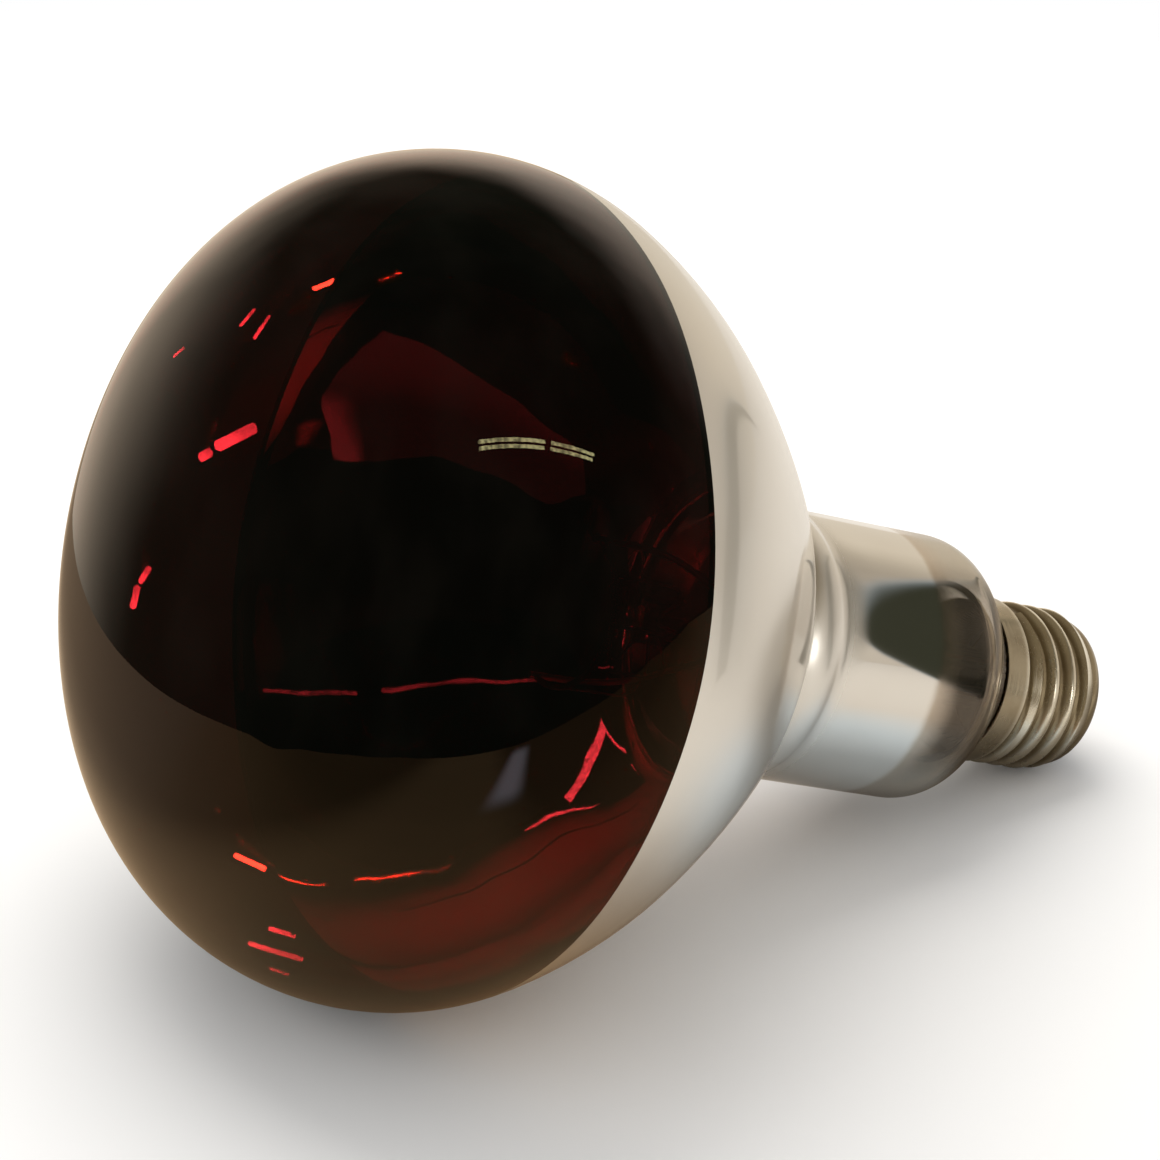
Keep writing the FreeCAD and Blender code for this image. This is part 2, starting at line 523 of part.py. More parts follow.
# Stem: a glass tube belled out to the neck's end, where it is sealed, and squeezed
# flat round the wires at its foot
stem = body_named("stem_flare")
turned(stem, ("Places.stem_bore", "-Sizes.press_depth"), [
    ("line", "0", "-Sizes.press_depth"),
    ("line", "0", "-Places.press_foot"),
    ("line", "Places.stem_radius", "-Places.press_foot"),
    ("line", "Places.stem_radius", "-Places.bell_foot"),
    ("smooth", "Places.sealed_inside", "-(Sizes.seal_depth + Sizes.bell_rim)"),
    ("line", "Places.sealed_inside", "-Sizes.seal_depth"),
    ("line", "Places.bell_inner_rim", "-Sizes.seal_depth"),
    (("arc", "Places.bell_inside"), "Places.stem_bore", "-Places.bell_foot"),
    ("line", "Places.stem_bore", "-Sizes.press_depth"),
])
for side, sign in (("front", "-"), ("back", "")):
    squeeze = sketch_on(stem, "press_" + side, "YZ_Plane")
    draw(squeeze, (sign + "(Places.stem_radius + Sizes.stem_wall)",
                   "-(Sizes.press_depth + Sizes.stem_wall)"), [
        ("line", sign + "(Sizes.press_thickness / 2)",
         "-(Sizes.press_depth + Sizes.stem_wall + Sizes.press_slope)"),
        ("line", sign + "(Sizes.press_thickness / 2)", "-(Places.press_foot + Sizes.stem_wall)"),
        ("line", sign + "(Places.stem_radius + Sizes.stem_wall)",
         "-(Places.press_foot + Sizes.stem_wall)"),
        ("line", sign + "(Places.stem_radius + Sizes.stem_wall)",
         "-(Sizes.press_depth + Sizes.stem_wall)"),
    ])
    pocket = stem.newObject("PartDesign::Pocket", "press_" + side + "_flat")
    pocket.Profile = squeeze
    pocket.Type = "ThroughAll"
    pocket.Midplane = True
    doc.recompute()

# Exhaust tube: it stands on the press inside the stem and is melted shut inside the cap
exhaust = body_named("exhaust_tube")
turned(exhaust, ("Places.exhaust_bore", "-Sizes.press_depth"), [
    ("line", "Places.exhaust_radius", "-Sizes.press_depth"),
    ("line", "Places.exhaust_radius", "-(Places.exhaust_tip + Places.exhaust_radius)"),
    ("smooth", "0", "-Places.exhaust_tip"),
    ("line", "0", "-(Places.exhaust_tip + Sizes.exhaust_wall)"),
    (("arc", "-Places.exhaust_bore"), "Places.exhaust_bore",
     "-(Places.exhaust_tip + Places.exhaust_radius)"),
    ("line", "Places.exhaust_bore", "-Sizes.press_depth"),
])

# Glass rod below the press, melted to a button that holds the support wires
rod = body_named("button_rod")
turned(rod, ("0", "-Places.press_foot"), [
    ("line", "0", "-Places.button_foot"),
    ("line", "Sizes.rod_diameter / 2", "-Places.button_foot"),
    (("arc", "Sizes.button_round"), "Places.button_radius",
     "-(Places.button_middle + Sizes.support_diameter)"),
    ("line", "Places.button_radius", "-(Places.button_middle - Sizes.support_diameter)"),
    (("arc", "Sizes.button_round"), "Sizes.rod_diameter / 2", "-Places.button_top"),
    ("line", "Sizes.rod_diameter / 2", "-Places.press_foot"),
    ("line", "0", "-Places.press_foot"),
])


def wire(name, start, steps, thickness, role, offset, centre):
    """A round wire along a drawn path; its section is drawn square to the path's start."""
    body = body_named(name)
    path = sketch_on(body, name + "_path")
    draw(path, start, steps, closed=False)
    section = sketch_on(body, name + "_section", role, offset)
    across, up = centre
    ring = section.addGeometry(
        Part.Circle(Vec(value(across), value(up), 0), Vec(0, 0, 1), value(thickness) / 2), False)
    fix_point(section, ring, 3, across, up)
    index = section.addConstraint(Sketcher.Constraint("Diameter", ring, value(thickness)))
    section.setExpression("Constraints[%d]" % index, thickness)
    pipe = body.newObject("PartDesign::AdditivePipe", name + "_drawn")
    pipe.Profile = section
    pipe.Spine = (path, [])
    doc.recompute()
    return body


# Inner leads: two stiff wires that leave the press, spread in a double bend and end at
# the filament
leads = []
for name, sign in (("inner_lead_right", ""), ("inner_lead_left", "-")):
    half = sign + "(Sizes.lead_spacing / 2)"
    wide = sign + "Places.filament_radius"
    leads.append(wire(name, (half, "-Places.press_foot"), [
        ("line", half, "-(Places.press_foot + Sizes.lead_drop)"),
        ("smooth", sign + "((Sizes.lead_spacing / 2 + Places.filament_radius) / 2)",
         "-(Places.press_foot + Sizes.lead_drop + Sizes.lead_sweep / 2)"),
        ("smooth", wide, "-Places.lead_bent"),
        ("line", wide, "-(Places.filament_depth + Sizes.lead_tail)"),
    ], "Sizes.lead_diameter", "XY_Plane", "-Places.press_foot", (half, "0")))

# Outer leads: one turns in above the exhaust tube and runs through the black glass to
# the solder, the other turns out over the neck's end to the shell
outer = "Places.outer_lead_place"
leads.append(wire("contact_lead", (outer, "-Sizes.press_depth"), [
    ("line", outer, "-(Places.contact_lead_turn + Places.outer_lead_place)"),
    ("smooth", "Places.outer_lead_place / 2",
     "-(Places.contact_lead_turn + Places.outer_lead_place / 2)"),
    ("smooth", "0", "-Places.contact_lead_turn"),
    ("line", "0", "-Sizes.solder_height"),
], "Sizes.outer_lead_diameter", "XY_Plane", "-Sizes.press_depth", (outer, "0")))
outer = "-Places.outer_lead_place"
leads.append(wire("shell_lead", (outer, "-Sizes.press_depth"), [
    ("line", outer, "-(Places.side_lead_depth + Sizes.side_lead_bend)"),
    ("smooth", "-(Places.outer_lead_place + Sizes.side_lead_bend)", "-Places.side_lead_depth"),
    ("line", "-(Places.core_inside - Sizes.weld_gap)", "-Places.side_lead_depth"),
], "Sizes.outer_lead_diameter", "XY_Plane", "-Sizes.press_depth", (outer, "0")))

# Filament: a coil bent to half a ring across the two inner leads
filament = body_named("filament")
coil = sketch_on(filament, "filament_section")
ring = coil.addGeometry(Part.Circle(
    Vec(value("Places.filament_radius"), value("-Places.filament_depth"), 0), Vec(0, 0, 1),
    value("Sizes.filament_coil") / 2), False)
fix_point(coil, ring, 3, "Places.filament_radius", "-Places.filament_depth")
index = coil.addConstraint(Sketcher.Constraint("Diameter", ring, value("Sizes.filament_coil")))
coil.setExpression("Constraints[%d]" % index, "Sizes.filament_coil")
sweep = filament.newObject("PartDesign::Revolution", "filament_bent")
sweep.Profile = coil
sweep.ReferenceAxis = (coil, ["V_Axis"])
sweep.setExpression("Angle", "180 - 2 * Sizes.filament_gap_angle")
filament.Placement = FreeCAD.Placement(
    Vec(0, 0, 0), FreeCAD.Rotation(Vec(0, 0, 1), value("Sizes.filament_gap_angle")))
filament.setExpression("Placement.Rotation.Angle", "Sizes.filament_gap_angle")
doc.recompute()

# Support wires: each grows out of the glass button and bends down to the filament
supports = []
for number in (1, 2, 3, 4):
    body = wire("filament_support_%d" % number, ("Places.button_radius", "-Places.button_middle"), [
        ("line", "Places.filament_radius - Sizes.support_bend", "-Places.button_middle"),
        ("smooth", "Places.filament_radius", "-(Places.button_middle + Sizes.support_bend)"),
        ("line", "Places.filament_radius", "-Places.coil_top"),
    ], "Sizes.support_diameter", "YZ_Plane", "Places.button_radius", ("0", "-Places.button_middle"))
    body.Placement = FreeCAD.Placement(
        Vec(0, 0, 0), FreeCAD.Rotation(Vec(0, 0, 1), number * value("Sizes.support_angle")))
    body.setExpression("Placement.Rotation.Angle", "%d * Sizes.support_angle" % number)
    supports.append(body)

# Heat shield: a thin disc with a turned rim, threaded on the rod and the two leads
shield = body_named("heat_shield")
turned(shield, ("Sizes.rod_diameter / 2 + Sizes.shield_hole_gap", "-Places.shield_top"), [
    ("line", "Sizes.rod_diameter / 2 + Sizes.shield_hole_gap", "-Places.shield_foot"),
    ("line", "Places.shield_radius", "-Places.shield_foot"),
    ("line", "Places.shield_radius", "-(Places.shield_foot - Sizes.shield_lip)"),
    ("line", "Places.shield_radius - Sizes.shield_thickness",
     "-(Places.shield_foot - Sizes.shield_lip)"),
    ("line", "Places.shield_radius - Sizes.shield_thickness", "-Places.shield_top"),
    ("line", "Sizes.rod_diameter / 2 + Sizes.shield_hole_gap", "-Places.shield_top"),
])
holes = sketch_on(shield, "lead_holes", "XY_Plane", "-Places.shield_top")
for sign in ("", "-"):
    across = sign + "(Sizes.lead_spacing / 2)"
    bore = "Sizes.lead_diameter / 2 + Sizes.shield_hole_gap"
    ring = holes.addGeometry(
        Part.Circle(Vec(value(across), 0, 0), Vec(0, 0, 1), value(bore)), False)
    fix_point(holes, ring, 3, across, "0")
    index = holes.addConstraint(Sketcher.Constraint("Radius", ring, value(bore)))
    holes.setExpression("Constraints[%d]" % index, bore)
pocket = shield.newObject("PartDesign::Pocket", "lead_holes_cut")
pocket.Profile = holes
pocket.Type = "ThroughAll"
pocket.Midplane = True
doc.recompute()

pieces = [envelope, shell, insulator, contact, solder, cement, stem, exhaust, rod, filament, shield]
pieces += leads + supports

for thing in doc.Objects:
    if "Invalid" in thing.State or "Error" in thing.State:
        raise RuntimeError("%s did not build: %s" % (thing.Name, thing.State))
for piece in pieces:
    shape = piece.Shape
    if shape.isNull() or not shape.isValid() or len(shape.Solids) != 1:
        raise RuntimeError("%s is not one valid solid" % piece.Label)

os.makedirs("parts", exist_ok=True)
for piece in pieces:
    piece.Shape.exportStep("parts/%s.step" % piece.Label)
    print("%-20s %10.2f mm3" % (piece.Label, piece.Shape.Volume))
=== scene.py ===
import math

import bpy
from mathutils import Matrix, Vector


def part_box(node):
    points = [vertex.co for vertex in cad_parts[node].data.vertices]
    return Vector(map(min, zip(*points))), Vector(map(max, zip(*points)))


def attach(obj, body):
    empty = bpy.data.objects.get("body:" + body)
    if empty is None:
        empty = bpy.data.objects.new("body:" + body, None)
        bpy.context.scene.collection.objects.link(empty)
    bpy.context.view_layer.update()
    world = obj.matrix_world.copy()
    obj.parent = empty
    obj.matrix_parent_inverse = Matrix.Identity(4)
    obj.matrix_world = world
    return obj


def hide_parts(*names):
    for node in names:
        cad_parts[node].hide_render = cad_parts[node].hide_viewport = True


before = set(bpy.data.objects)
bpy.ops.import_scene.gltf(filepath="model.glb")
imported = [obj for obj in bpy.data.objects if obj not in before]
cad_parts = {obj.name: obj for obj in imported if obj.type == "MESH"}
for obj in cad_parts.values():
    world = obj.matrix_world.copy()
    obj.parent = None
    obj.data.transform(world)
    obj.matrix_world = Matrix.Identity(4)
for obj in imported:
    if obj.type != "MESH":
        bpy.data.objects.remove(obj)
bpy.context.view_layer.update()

# Camera. The lamp is seen from the side of its face, a little from above as it lies on a
# table. Its own frame stands it upright under its cap, so the camera is placed in three
# directions of that frame: away from the axis, round the axis, and along it to the cap.
side = math.radians(64.5)
outward = Vector((math.cos(side), math.sin(side), 0))
around = Vector((-math.sin(side), math.cos(side), 0))
upright = Vector((0, 0, 1))


def direction(away, round_axis, along):
    return outward * away + around * round_axis + upright * along


camera_stand = direction(0.4964, 0, -0.4633)
picture_right = direction(0.5800, -0.1724, 0.7962)
picture_down = direction(0.0957, 0.9850, 0.1435)
look = direction(-0.8090, -0.0071, 0.5878)
camera = bpy.data.objects.new("camera", bpy.data.cameras.new("camera"))
bpy.context.scene.collection.objects.link(camera)
camera.data.lens = 127.83
camera.data.clip_start = 0.05
turn = Matrix((picture_right, -picture_down, -look)).transposed().to_4x4()
camera.matrix_world = Matrix.Translation(camera_stand) @ turn
bpy.context.scene.camera = camera
bpy.context.scene.view_settings.view_transform = "Standard"


# Shader sums. A Link is one output in a material's tree. Sums made with it add Math nodes,
# and every other node comes from its node method, or from a short name for a common one.
class Link:
    def __init__(self, tree, socket=None):
        self.tree = tree
        self.socket = socket

    def node(self, kind, settings=None, inputs=None, output=0):
        made = self.tree.nodes.new(kind)
        for name, setting in (settings or {}).items():
            setattr(made, name, setting)
        for name, given in (inputs or {}).items():
            if isinstance(given, Link):
                self.tree.links.new(given.socket, made.inputs[name])
            else:
                made.inputs[name].default_value = given
        return Link(self.tree, made.outputs[output])

    def maths(self, operation, *others):
        return self.node("ShaderNodeMath", {"operation": operation}, dict(enumerate((self, *others))))

    def __add__(self, other):
        return self.maths("ADD", other)

    def __sub__(self, other):
        return self.maths("SUBTRACT", other)

    def __rsub__(self, other):
        return self.node("ShaderNodeMath", {"operation": "SUBTRACT"}, {0: other, 1: self})

    def __mul__(self, other):
        return self.maths("MULTIPLY", other)

    def __truediv__(self, other):
        return self.maths("DIVIDE", other)

    __radd__ = __add__
    __rmul__ = __mul__

    def part(self, name):
        return self.node("ShaderNodeSeparateXYZ", None, {0: self}, {"x": 0, "y": 1, "z": 2}[name])

    def measured(self, operation, *others):
        """A vector's LENGTH, its DISTANCE from a point, or its DOT_PRODUCT with a direction."""
        return self.node("ShaderNodeVectorMath", {"operation": operation},
                         dict(enumerate((self, *others))), 1)

    def noise(self, scale, detail=2.0, roughness=0.5):
        return self.node("ShaderNodeTexNoise", None,
                         {"Vector": self, "Scale": scale, "Detail": detail, "Roughness": roughness})

    def between(self, low, high, to_low=0.0, to_high=1.0):
        return self.node("ShaderNodeMapRange", {"interpolation_type": "SMOOTHSTEP"},
                         {"Value": self, "From Min": low, "From Max": high,
                          "To Min": to_low, "To Max": to_high})

    def mix(self, first, second):
        """The first colour where this is 0, and the second where it is 1."""
        return self.node("ShaderNodeMix", {"data_type": "RGBA"},
                         {0: self, 6: first, 7: second}, 2)

    def blend(self, first, second):
        """The first shader where this is 0, and the second where it is 1."""
        return self.node("ShaderNodeMixShader", None, {0: self, 1: first, 2: second})

    def stretched(self, x, y, z):
        return self.node("ShaderNodeMapping", None, {"Vector": self, "Scale": (x, y, z)})

    def bump(self, strength, distance):
        return self.node("ShaderNodeBump", None,
                         {"Strength": strength, "Distance": distance, "Height": self})

    def finish(self, material):
        end = self.tree.nodes.new("ShaderNodeOutputMaterial")
        self.tree.links.new(self.socket, end.inputs["Surface"])


def new_finish(name):
    material = bpy.data.materials.new(name)
    material.use_nodes = True
    material.node_tree.nodes.clear()
    place = material.node_tree.nodes.new("ShaderNodeTexCoord")
    return material, Link(material.node_tree, place.outputs["Object"])


def shader(place, **sockets):
    named = {name.replace("_", " "): given for name, given in sockets.items()}
    return place.node("ShaderNodeBsdfPrincipled", None, named)


# Studio. The lamp lies on a pale table that ends half a metre away. It touches the table
# with its funnel and with the thread of its cap. Places on and over the table are given by
# how far they are to the right, ahead and up, as the camera sees it.
table_up = direction(0.27554, -0.87825, -0.39083).normalized()
table_height = -0.00840
ahead = (look - look.dot(table_up) * table_up).normalized()
across = ahead.cross(table_up)
middle = direction(0, 0, -0.10)
middle = middle + (table_height - middle.dot(table_up)) * table_up
studio_axes = Matrix((across, ahead, table_up)).transposed().to_4x4()


def in_studio(right, forward, up):
    return Matrix.Translation(middle + across * right + ahead * forward + table_up * up) @ studio_axes


def way_to(heading, height):
    """Direction above the table, turned to the right from straight ahead."""
    turned_to = math.radians(heading)
    raised = math.radians(height)
    level = ahead * math.cos(turned_to) + across * math.sin(turned_to)
    return level * math.cos(raised) + table_up * math.sin(raised)


def ray(place, name):
    return place.node("ShaderNodeLightPath", output=name)


def disc(name, radius, corners, where, disc_finish):
    bpy.ops.object.select_all(action="DESELECT")
    bpy.ops.mesh.primitive_circle_add(vertices=corners, radius=radius, fill_type="NGON")
    made = bpy.context.object
    made.name = name
    made.matrix_world = where
    made.data.materials.append(disc_finish)
    return made


# Paper on the table. Only the camera and the light see it: it holds the lamp's soft shadow,
# is plain white at its edge, and isn't there when it is looked at from below.
paper_radius = 0.52
paper_lift = -0.0003
material, place = new_finish("table_paper")
white_edge = ray(place, "Is Camera Ray") * place.measured("LENGTH").between(0.20, 0.46)
below = place.node("ShaderNodeNewGeometry", output="Backfacing")
paper = shader(place, Base_Color=(0.93, 0.925, 0.915, 1), Roughness=0.9, Specular_IOR_Level=0.1)
clear = place.node("ShaderNodeBsdfTransparent")
(white_edge + below).maths("MINIMUM", 1.0).blend(paper, clear).finish(material)
paper_disc = disc("table_paper", paper_radius, 96, in_studio(0, 0, paper_lift), material)
paper_disc.visible_glossy = False
paper_disc.visible_transmission = False


# The brown table top that glass and metal show in the paper's place, with a pale sheet under
# the neck for the mirror and for light bent by the glass. It is lightest behind the lamp and
# dims to the front and both sides, and its corners are set by where the face shows them.
# Painted shade lies on the sheet where the lamp's shadow falls, and a painted highlight
# streak lies at the front.
def reflected_only(piece):
    piece.visible_camera = False
    piece.visible_diffuse = False
    piece.visible_shadow = False


def drawn(name, points):
    """A new piece in edit mode: one line of edges through the points, all selected."""
    bpy.ops.object.select_all(action="DESELECT")
    bpy.ops.mesh.primitive_plane_add(size=0.001)
    piece = bpy.context.object
    piece.name = name
    bpy.ops.object.mode_set(mode="EDIT")
    bpy.ops.mesh.select_all(action="SELECT")
    bpy.ops.mesh.merge(type="CENTER")
    bpy.ops.transform.translate(value=points[0])
    for before, after in zip(points, points[1:]):
        step = [to - start for start, to in zip(before, after)]
        bpy.ops.mesh.extrude_vertices_move(TRANSFORM_OT_translate={"value": step})
    bpy.ops.mesh.select_all(action="SELECT")
    return piece


def flat_sheet(name, corners, lift, sheet_finish):
    sheet = drawn(name, [(right, forward, 0) for right, forward in corners])
    bpy.ops.mesh.edge_face_add()
    bpy.ops.object.mode_set(mode="OBJECT")
    if sheet.data.polygons[0].normal.z < 0:
        bpy.ops.object.mode_set(mode="EDIT")
        bpy.ops.mesh.flip_normals()
        bpy.ops.object.mode_set(mode="OBJECT")
    sheet.matrix_world = in_studio(0, 0, lift)
    sheet.data.materials.append(sheet_finish)
    reflected_only(sheet)
    return sheet


black = (0, 0, 0, 1)
top_lift = -0.0002
material, place = new_finish("table_top")
right = place.part("x")
forward = place.part("y")
grain = place.stretched(3, 24, 1).noise(1.0, 3)
near = grain.mix((0.54, 0.34, 0.165, 1), (0.46, 0.285, 0.135, 1))
nearest = grain.mix((0.36, 0.235, 0.115, 1), (0.29, 0.185, 0.09, 1))
back = grain.mix((0.66, 0.50, 0.335, 1), (0.58, 0.44, 0.29, 1))
brown = forward.between(-0.20, -0.06).mix(nearest, near)
brown = forward.between(-0.12, 0.10).mix(brown, back)
behind_left = right.between(-0.10, -0.16) * forward.between(-0.04, 0.03)
brown = behind_left.mix(brown, (0.60, 0.43, 0.28, 1))
brown = right.between(-0.01, 0.04, 1.0, 0.45).mix(black, brown)
brown = right.between(-0.08, -0.16, 1.0, 0.45).mix(black, brown)
# Painted shade on the pale sheet: a cool blue-grey patch under the neck and a dark brown patch by the cap,
# where the lamp's shadow falls
painted_shadow_from_neck = place.measured("DISTANCE", (0.050, -0.004, 0))
painted_shade_from_cap = place.measured("DISTANCE", (0.082, 0.056, 0))
pale = painted_shadow_from_neck.between(0.012, 0.046).mix((0.66, 0.74, 0.79, 1), (0.68, 0.64, 0.58, 1))
pale = painted_shade_from_cap.between(0.030, 0.062).mix((0.27, 0.24, 0.20, 1), pale)
through_glass = ray(place, "Is Transmission Ray")
off_glass = ray(place, "Is Singular Ray") * (1.0 - through_glass)
sheet = right.between(-0.02, 0.07) * (1.0 - off_glass)
bounced = ray(place, "Glossy Depth").maths("MINIMUM", 1.0)
dim = through_glass * bounced.maths("MAXIMUM", 1.0 - sheet)
tan = (dim * 0.9).mix(sheet.mix(brown, pale), black)
# Painted highlight: a blue-white streak across the front of the table, standing in for a reflection of
# light on it
painted_window_streak = (right + forward * 0.30 + 0.047).maths("ABSOLUTE").between(0.022, 0.004) \
    * forward.between(-0.36, -0.30) * forward.between(-0.165, -0.20)
tan = painted_window_streak.mix(tan, (0.86, 0.90, 1.0, 1))
top = shader(place, Base_Color=tan, Roughness=0.7, Specular_IOR_Level=0.0)
below = place.node("ShaderNodeNewGeometry", output="Backfacing")
clear = place.node("ShaderNodeBsdfTransparent")
below.blend(top, clear).finish(material)
flat_sheet("table_top", (
    (-0.05, 0.55), (-0.16, 0.16), (-0.30, 0.02), (-0.42, -0.09), (-0.43, -0.21), (-0.34, -0.32),
    (-0.21, -0.375), (0.06, -0.37), (0.23, -0.40), (0.60, -0.355), (0.70, -0.14), (0.43, 0.03),
    (0.42, 0.55)), top_lift, material)


# A bright sheet before the face. Its light counts only where it leaves by the ruby glass
# after one turn in the mirror, and there it makes the dark red patch on the face.
def through_ruby(place, least, most):
    """One where light goes in and out by the ruby glass, with so many turns in the mirror."""
    ruby_surfaces = 4
    turns = ray(place, "Glossy Depth")
    enough = turns.maths("GREATER_THAN", least - 0.5)
    few = turns.maths("LESS_THAN", most + 0.5)
    passed = ray(place, "Transmission Depth").maths("GREATER_THAN", ruby_surfaces - 0.5)
    return enough * few * passed


def glow(place, colour, strength=1.0):
    return place.node("ShaderNodeEmission", None, {"Color": colour, "Strength": strength})


def finish_as_seen(surface, material):
    """End the material of a thing that glass and metal show and that lights nothing else."""
    surface.finish(material)
    material.cycles.emission_sampling = "NONE"


material, place = new_finish("bright_sheet")
right = place.part("x")
beam = right.between(-0.040, -0.018) * right.between(0.04, 0.0) * place.part("y").between(-0.10, -0.14)
fading = place.measured("LENGTH").between(0.055, 0.15, 0.95, 0.26) + beam * 2.6
finish_as_seen(glow(place, (0.62, 1.0, 1.4, 1), fading * through_ruby(place, 1, 1)), material)
bright_sheet = flat_sheet("bright_sheet", (
    (-0.018, -0.115), (-0.047, -0.040), (-0.074, -0.050), (-0.235, -0.21), (-0.235, -0.42),
    (0.03, -0.62)), 0.0, material)
bright_sheet.visible_glossy = False

# White surroundings. Only as a light on the lamp and its table are they a little grey, so
# that pale surfaces keep their colour.
world = bpy.data.worlds.new("surroundings")
bpy.context.scene.world = world
world.use_nodes = True
world.node_tree.nodes.clear()
sky = Link(world.node_tree)
shown = ray(sky, "Is Camera Ray") + ray(sky, "Is Glossy Ray") + ray(sky, "Is Transmission Ray")
tone = shown.maths("MINIMUM", 1.0).mix((0.80, 0.80, 0.80, 1), (1, 1, 1, 1))
backing = sky.node("ShaderNodeBackground", None, {"Color": tone, "Strength": 1.0})
end = world.node_tree.nodes.new("ShaderNodeOutputWorld")
world.node_tree.links.new(backing.socket, end.inputs["Surface"])

# Two soft lamps: the main one hangs over the table, a little behind the bulb, and the weaker
# one is lower and at the left. Glass and metal don't show them.
for name, heading, height, distance, size, power in (
        ("top_lamp", -20, 62, 0.9, 0.8, 5.0), ("left_lamp", -115, 30, 1.0, 0.6, 1.5)):
    lamp = bpy.data.objects.new(name, bpy.data.lights.new(name, "AREA"))
    bpy.context.scene.collection.objects.link(lamp)
    lamp.data.size = size
    lamp.data.energy = power
    lamp.data.color = (1.0, 0.97, 0.93)
    lamp.location = middle + way_to(heading, height) * distance
    lamp.rotation_mode = "QUATERNION"
    lamp.rotation_quaternion = way_to(heading, height).to_track_quat("Z", "Y")
    lamp.visible_glossy = False
    lamp.visible_transmission = False

# The room that only glass and metal show: a cream wall behind the lamp, up to a third of
# the way to the roof, and a dark room round the camera. Headings and heights are degrees,
# and the wall's edges are ragged. Light that also met the mirror inside is dimmed.
room_radius = 1.6
bpy.ops.object.select_all(action="DESELECT")
bpy.ops.mesh.primitive_uv_sphere_add(segments=64, ring_count=32, radius=room_radius)
room = bpy.context.object
room.name = "room"
room.matrix_world = in_studio(0, 0, 0)
bpy.ops.object.shade_smooth()
material, place = new_finish("room_walls")
way = place.node("ShaderNodeVectorMath", {"operation": "NORMALIZE"}, {0: place})
height = way.part("z").maths("ARCSINE") * math.degrees(1)
heading = way.part("x").maths("ARCTAN2", way.part("y")) * math.degrees(1)
ragged = way.noise(3.0, 2.5) * 14 - 7
through_glass = ray(place, "Is Transmission Ray")
off_glass = ray(place, "Is Singular Ray") * (1.0 - through_glass)
wall_left = (heading + ragged * 0.5).between(-66, -24)
wall_right = (heading + ragged + off_glass * 75).between(150, 105)
wall_rise = heading.between(-15, 25, 0, 16)
under_roof = (height + ragged - wall_rise).between(26, 0)
floor_share = height.between(-14, -26) * 0.6
wall = (wall_left * wall_right * under_roof).maths("MAXIMUM", floor_share)
warm = heading.between(-12, 14).mix((0.98, 0.82, 0.62, 1), (0.74, 0.66, 0.54, 1))
warm = heading.between(38, 60).mix(warm, (0.62, 0.56, 0.48, 1))
cream = height.between(-34, -12).mix((0.46, 0.48, 0.49, 1), warm)
dark = way.noise(2.2, 3).between(0.4, 0.75).mix((0.036, 0.040, 0.026, 1), (0.075, 0.072, 0.050, 1))
dark = ray(place, "Is Singular Ray").mix((0.17, 0.135, 0.085, 1), dark)
bounced = ray(place, "Glossy Depth").maths("MINIMUM", 1.0)
to_cap = way.measured("DOT_PRODUCT", (across.z, ahead.z, table_up.z)).between(-0.15, 0.15)
dim = through_glass * bounced * (1.0 - to_cap * 0.4)
finish_as_seen(glow(place, wall.mix(dark, cream), 1.0 - dim * 0.8), material)
room.data.materials.append(material)
reflected_only(room)

# A dark screen beside the neck, which the mirrored neck shows as a dark oval. It is round,
# with a round hole that leaves a crescent, and its rim is softer at the top and blue.
screen_radius = 0.0895
screen_heading = math.radians(88)
screen_out = across * math.sin(screen_heading) + ahead * math.cos(screen_heading)
screen_along = across * math.cos(screen_heading) - ahead * math.sin(screen_heading)
screen_axes = Matrix((screen_along, table_up, -screen_out)).transposed().to_4x4()
screen_place = middle + screen_out * 0.150 - screen_along * 0.058 + table_up * 0.026
material, place = new_finish("dark_screen")
raised = place.part("y").between(0.035, 0.075)
rim_width = raised * 0.018 + 0.003
edge = ((place.measured("LENGTH") - screen_radius) / rim_width + 1.0).between(0, 1)
hole = place.measured("DISTANCE", (-0.017, -0.026, 0)).between(0.088, 0.082)
opened = hole.maths("MAXIMUM", edge.between(0.3, 1.0))
tone = edge.between(0, 0.75).mix((0.040, 0.042, 0.028, 1), (0.30, 0.34, 0.36, 1))
clear = place.node("ShaderNodeBsdfTransparent")
finish_as_seen(opened.blend(glow(place, tone), clear), material)
screen = disc("dark_screen", screen_radius, 64, Matrix.Translation(screen_place) @ screen_axes, material)
reflected_only(screen)
screen.visible_transmission = False

# A bright window at the right, on the camera's side, for the ridges of the cap and of the
# neck's root. It fades at its rim, and only dull metal shows it, not the smooth glass.
window_radius = 0.22
window_way = way_to(128, 12)
window_turn = window_way.to_track_quat("Z", "Y").to_matrix().to_4x4()
material, place = new_finish("bright_window")
faded = place.measured("LENGTH").between(0.08, window_radius)
unseen = faded.maths("MAXIMUM", ray(place, "Is Singular Ray"))
clear = place.node("ShaderNodeBsdfTransparent")
finish_as_seen(unseen.blend(glow(place, (1.0, 0.98, 0.93, 1), 5.0), clear), material)
window = disc("bright_window", window_radius, 48,
              Matrix.Translation(middle + window_way * 1.1) @ window_turn, material)
reflected_only(window)
window.visible_transmission = False

# Tubes on the ceiling, which the face shows as glints. They are given by where they hang:
# how far to the right and ahead of the lamp, as shares of the ceiling's height. The yellow
# row shows on the glass, and the others red or amber after turns in the mirror inside.
ceiling = 0.7
yellow = (1.0, 0.93, 0.46, 1)
pink = (0.7, 1.0, 1.6, 1)
amber = (1.0, 1.0, 0.55, 1)


def glint_light(name, colour, strength, turns):
    """A cloudy light, shown by the smooth outside (no turns given) or from inside the ruby."""
    light, spot = new_finish(name)
    cloudy = spot.noise(40, 3).between(0.35, 0.6, 0.35, 1.3)
    seen = ray(spot, "Is Singular Ray") if turns is None else through_ruby(spot, turns, turns)
    finish_as_seen(glow(spot, colour, cloudy * strength * seen), light)
    return light


